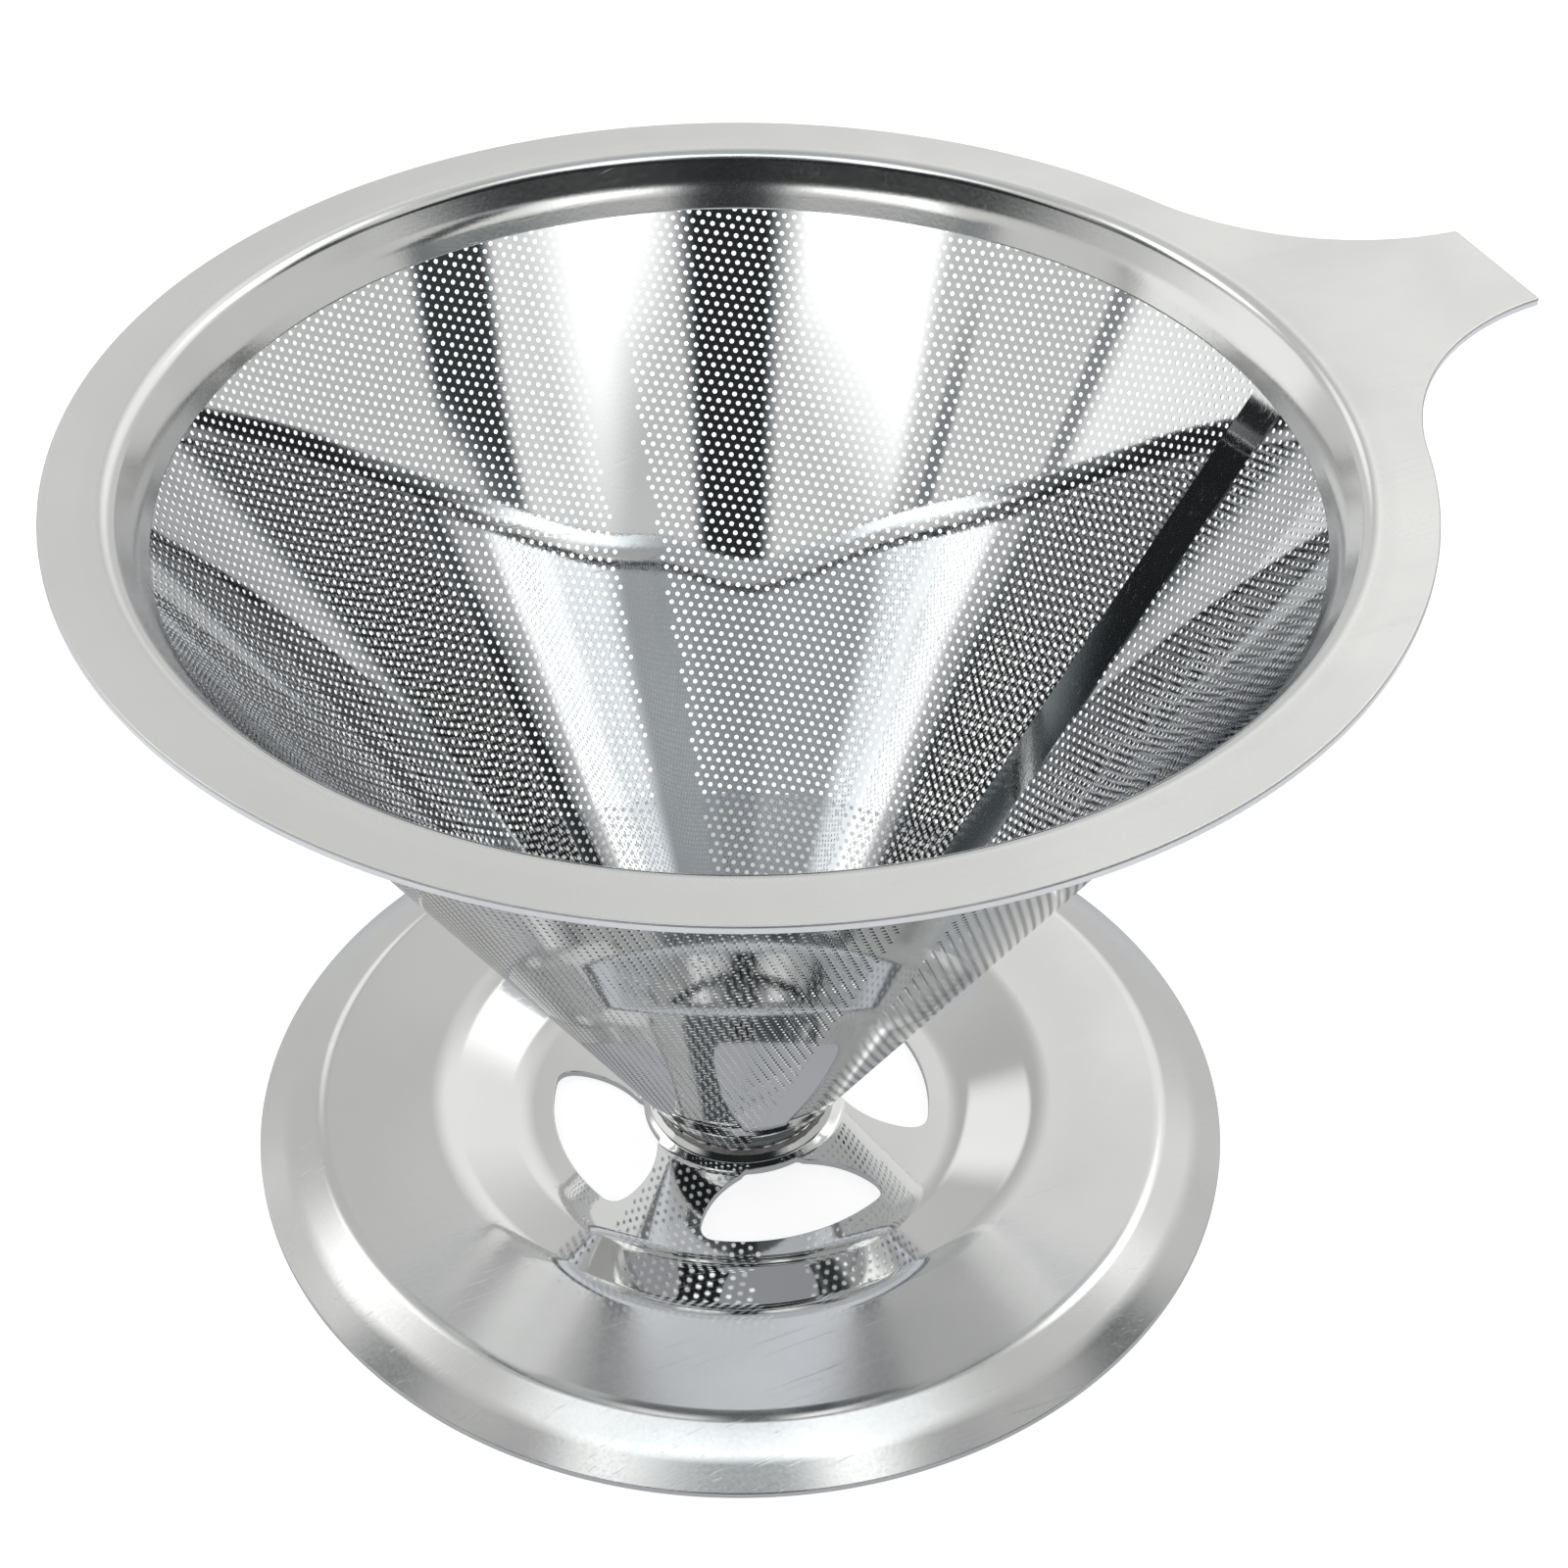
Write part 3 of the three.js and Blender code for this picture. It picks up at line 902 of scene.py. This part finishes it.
def patch(level, patch_level, *masks):
    """level, changed to patch_level where all the masks are one."""
    product = masks[0]
    for mask in masks[1:]:
        product = n.math("MULTIPLY", product, mask)
    node = n.add("ShaderNodeMix", data_type="FLOAT")
    n.put(node.inputs[0], product)
    n.put(node.inputs[2], level)
    n.put(node.inputs[3], patch_level)
    return node.outputs[0]


def spot(azimuth_at, elevation_at, size):
    """A round lamp's mask at that direction."""
    a, e = math.radians(azimuth_at), math.radians(elevation_at)
    aim = n.add("ShaderNodeVectorMath", operation="DOT_PRODUCT")
    n.link(turned_to_view.outputs[0], aim.inputs[0])
    aim.inputs[1].default_value = (math.cos(e) * math.sin(a), -math.cos(e) * math.cos(a), math.sin(e))
    edge, core = math.cos(math.radians(size * 1.4)), math.cos(math.radians(size * 0.6))
    return n.ramp(aim.outputs["Value"], edge, core)


# Azimuth 0 is the camera's side, positive to its right. A white tent stands behind and at the sides, dark
# studio above and beside the camera, with two soft boxes low in front and two lamps high in front.
slanted = n.math("ADD", azimuth, n.math("MULTIPLY", elevation, 1.2))
left_foot = n.ramp(n.math("SUBTRACT", elevation, n.math("MULTIPLY", azimuth, 0.25)), 27.5, 32.0)
right_foot = n.ramp(n.math("ADD", elevation, n.math("MULTIPLY", azimuth, 0.25)), 28.0, 32.5)
behind = n.math("MULTIPLY", n.ramp(to_back, 0.35, 0.55), between(elevation, 24, 50, 7))
level = n.ramp(elevation, 58.0, 70.0, 0.62, 0.46)
level = patch(level, n.ramp(to_right, -0.22, 0.22, 0.55, 0.98), behind)
level = patch(level, 0.95, between(azimuth, -127, -83, 2), between(elevation, -6, 24, 3))
level = patch(level, 0.57, between(azimuth, 70, 126, 2), between(elevation, -6, 29, 3))
level = patch(level, 0.12, between(azimuth, -49, 67, 3), between(elevation, -25, 18.0, 2.0))
sideways = n.math("ABSOLUTE", azimuth)
cut_corners = below(n.math("ADD", sideways, elevation), 118, 126)
level = patch(level, 0.02, between(azimuth, -80, 80, 4), between(elevation, 33, 60, 2.5), cut_corners)
level = patch(level, 0.10, between(azimuth, -107, -80, 4), between(elevation, 31, 50, 3))
level = patch(level, 0.06, between(azimuth, 80, 104, 4), between(elevation, 31, 47, 3))
high_up = n.math("ADD", elevation, n.math("MULTIPLY", sideways, 0.12))
overhead = n.math("MULTIPLY", n.ramp(high_up, 71, 75), below(elevation, 79, 84))
level = patch(level, n.ramp(sideways, 45, 60, 1.9, 1.35), between(azimuth, -85, 85, 10), overhead)
level = patch(level, 0.10, between(azimuth, -19, 19, 4), between(elevation, 58, 69, 2.5))
level = patch(level, 1.90, between(azimuth, 112, 145, 6), between(elevation, 41, 60, 5))
level = patch(level, 1.80, between(azimuth, -127, -101, 6), between(elevation, 38, 58, 5))
level = patch(level, 1.80, spot(-45, 66.5, 5))
level = patch(level, 1.80, spot(41, 68, 5))
level = patch(level, 1.05, spot(-154, 31, 8))
low_down = below(elevation, 31, 34)
level = patch(level, 1.50, between(azimuth, -41, -12, 3), low_down, left_foot)
fading = n.ramp(azimuth, 30, 46, 1.5, 0.78)
level = patch(level, fading, n.ramp(azimuth, 10, 20), below(slanted, 78, 82), low_down, right_foot)
gap = n.math("MULTIPLY", n.ramp(slanted, 79.5, 82.5), below(slanted, 91, 94.5))
level = patch(level, 0.05, gap, between(elevation, 17.5, 31, 1.5))
level = patch(level, 0.03, between(azimuth, -8, 12, 3), between(elevation, 8, 38, 3))
level = patch(level, 0.25, between(azimuth, -51.5, -47.5, 1.0), between(elevation, 14, 21, 2))
level = patch(level, 0.30, between(azimuth, -81, -77, 1.0), between(elevation, 8, 21, 3))
shade = n.mix(n.ramp(level, 0.05, 0.5), (0.82, 0.93, 1.0, 1), (1.0, 1.0, 0.99, 1))
tint = n.mix(n.ramp(elevation, 60, 80), shade, (0.90, 0.96, 1.0, 1))
n.put(sky.inputs["Color"], tint)
n.put(sky.inputs["Strength"], level)

lamp_data = bpy.data.lights.new("overhead", "AREA")
lamp_data.shape = "SQUARE"
lamp_data.size = 1.4
lamp_data.energy = 9.0
lamp = bpy.data.objects.new("overhead", lamp_data)
lamp.location = (0.0, 0.1, 1.3)
lamp.visible_glossy = False
SCENE.collection.objects.link(lamp)

camera_data = bpy.data.cameras.new("camera")
camera_data.lens = 70.176
camera_data.sensor_width = 36.0
camera_data.clip_start, camera_data.clip_end = 0.01, 20.0
camera = bpy.data.objects.new("camera", camera_data)
forward = Vector((0.3255, 0.69, -0.6465)).normalized()
right = Vector((0.9074, -0.4201, 0.0085))
up = right.cross(forward).normalized()
right = forward.cross(up)
turn = Matrix((right, up, -forward)).transposed().to_4x4()
camera.matrix_world = Matrix.Translation(Vector((-94.2, -209.6, 240.4)) * MM) @ turn
SCENE.collection.objects.link(camera)
SCENE.camera = camera
SCENE.view_settings.view_transform = "Standard"
